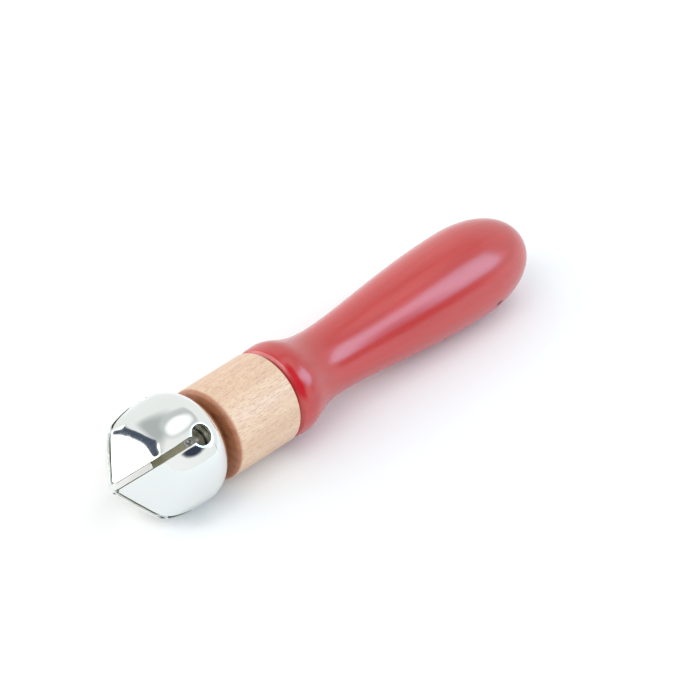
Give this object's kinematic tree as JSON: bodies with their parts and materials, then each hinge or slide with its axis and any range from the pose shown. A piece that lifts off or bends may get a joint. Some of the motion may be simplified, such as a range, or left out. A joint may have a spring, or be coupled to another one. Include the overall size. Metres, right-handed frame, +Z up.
{
  "type": "rattle stick",
  "caption": "Handheld rattle stick with a turned red wooden handle, a plain wood collar and a slit metal jingle bell that turns on its screw and holds a loose pellet.",
  "frame": {"origin": "on the table, under the middle of the stick's length, with the stick lying on its bell and its handle's swell", "axes": "+X along the stick from the bell to the handle's butt, +Z up, +Y across; the stick's own axis falls 0.62 degrees towards the butt"},
  "size_m": [0.1512, 0.0298, 0.0299],
  "materials": {
    "red_lacquer": "red satin lacquer over turned wood",
    "natural_wood": "sanded, clear matt oil",
    "dowel_wood": "raw, fluted",
    "bright_nickel": "bright plated sheet steel",
    "pellet_steel": "plain steel ball",
    "screw_steel": "zinc-plated steel",
    "washer_steel": "stamped zinc-plated steel"
  },
  "bodies": {
    "stick": {"handle": "red_lacquer", "collar": "natural_wood", "dowel": "dowel_wood", "bell_screw": "screw_steel", "washer": "washer_steel"},
    "bell": {"bell_shell": "bright_nickel"},
    "pellet": {"pellet": "pellet_steel"}
  },
  "joints": [
    {"name": "bell_turn", "type": "hinge", "parent": "stick", "child": "bell", "pos_m": [-0.0438, 0, 0.01482], "axis": [0.9999, 0, -0.0108], "continuous": true},
    {"name": "pellet_roll", "type": "hinge", "parent": "bell", "child": "pellet", "pos_m": [-0.054, 0, 0.01493], "axis": [0.9999, 0, -0.0108], "continuous": true}
  ]
}
